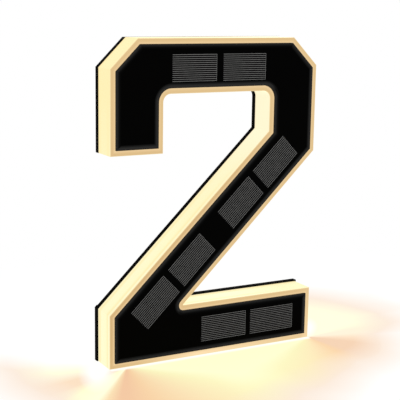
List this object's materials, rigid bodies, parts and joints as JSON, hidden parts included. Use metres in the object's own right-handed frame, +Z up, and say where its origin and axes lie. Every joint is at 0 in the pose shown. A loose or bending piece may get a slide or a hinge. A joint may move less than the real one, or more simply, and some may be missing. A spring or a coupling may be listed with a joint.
{
  "type": "illuminated house number sign",
  "caption": "Solar wall or standing numeral: black panel with solar cells in a lit opal shell, a screwed back plate with keyholes and a push switch.",
  "frame": {"origin": "middle of the footprint, on the surface that the sign stands on", "axes": "+X to the right seen from the front, +Y towards the wall behind the sign, +Z up; the front panel faces -Y"},
  "size_m": [0.147, 0.0228, 0.2],
  "materials": {
    "opal_shell": "opal moulded plastic, lit warm from within",
    "black_gloss": "polished black sheet with a bevelled edge",
    "bonding_film": "double-sided bonding film",
    "polyimide_film": "amber flexible circuit",
    "solder": "solder",
    "silicon": "dark coated silicon",
    "silver_print": "fired silver print",
    "black_plastic": "fine textured moulded plastic",
    "silicone": "soft silicone",
    "screw_steel": "zinc plated steel",
    "battery_sleeve": "shrink sleeve",
    "holder_plastic": "moulded plastic",
    "contact_metal": "nickel plated spring steel",
    "circuit_board": "green solder mask",
    "chip_resin": "moulded resin",
    "ferrite": "ferrite",
    "ceramic": "fired ceramic",
    "connector_nylon": "natural nylon",
    "button_rubber": "dark grey moulded plastic",
    "light_board": "white solder mask",
    "light_package": "white package with warm phosphor",
    "wire_cover": "soft wire cover"
  },
  "bodies": {
    "sign": {"back_gasket": "silicone", "back_plate": "black_plastic", "back_screws": "screw_steel", "battery": "battery_sleeve", "battery_contacts": "contact_metal", "battery_holder": "holder_plastic", "battery_wires": "wire_cover", "board_capacitors": "ceramic", "board_screws": "screw_steel", "cell_flex": "polyimide_film", "cell_solder_joints": "solder", "charge_chip": "chip_resin", "contact_grid_1": "silver_print", "contact_grid_2": "silver_print", "contact_grid_3": "silver_print", "contact_grid_4": "silver_print", "contact_grid_5": "silver_print", "contact_grid_6": "silver_print", "contact_grid_7": "silver_print", "contact_grid_8": "silver_print", "control_board": "circuit_board", "diffuser_body": "opal_shell", "front_panel": "black_gloss", "led_board_base": "light_board", "led_board_diagonal": "light_board", "led_board_hook": "light_board", "led_board_right": "light_board", "led_board_top": "light_board", "led_jumpers": "wire_cover", "led_wires": "wire_cover", "leds": "light_package", "panel_adhesive": "bonding_film", "solar_cell_1": "silicon", "solar_cell_2": "silicon", "solar_cell_3": "silicon", "solar_cell_4": "silicon", "solar_cell_5": "silicon", "solar_cell_6": "silicon", "solar_cell_7": "silicon", "solar_cell_8": "silicon", "solar_wires": "wire_cover", "storage_inductor": "ferrite", "switch_body": "holder_plastic", "wire_connectors": "connector_nylon"},
    "button": {"button_cap": "button_rubber", "button_seal": "silicone", "switch_plunger": "connector_nylon"}
  },
  "joints": [
    {"name": "button_press", "type": "slide", "parent": "sign", "child": "button", "axis": [0, -1, 0], "range_m": [0, 0.001], "stiffness_N_per_m": 800}
  ]
}
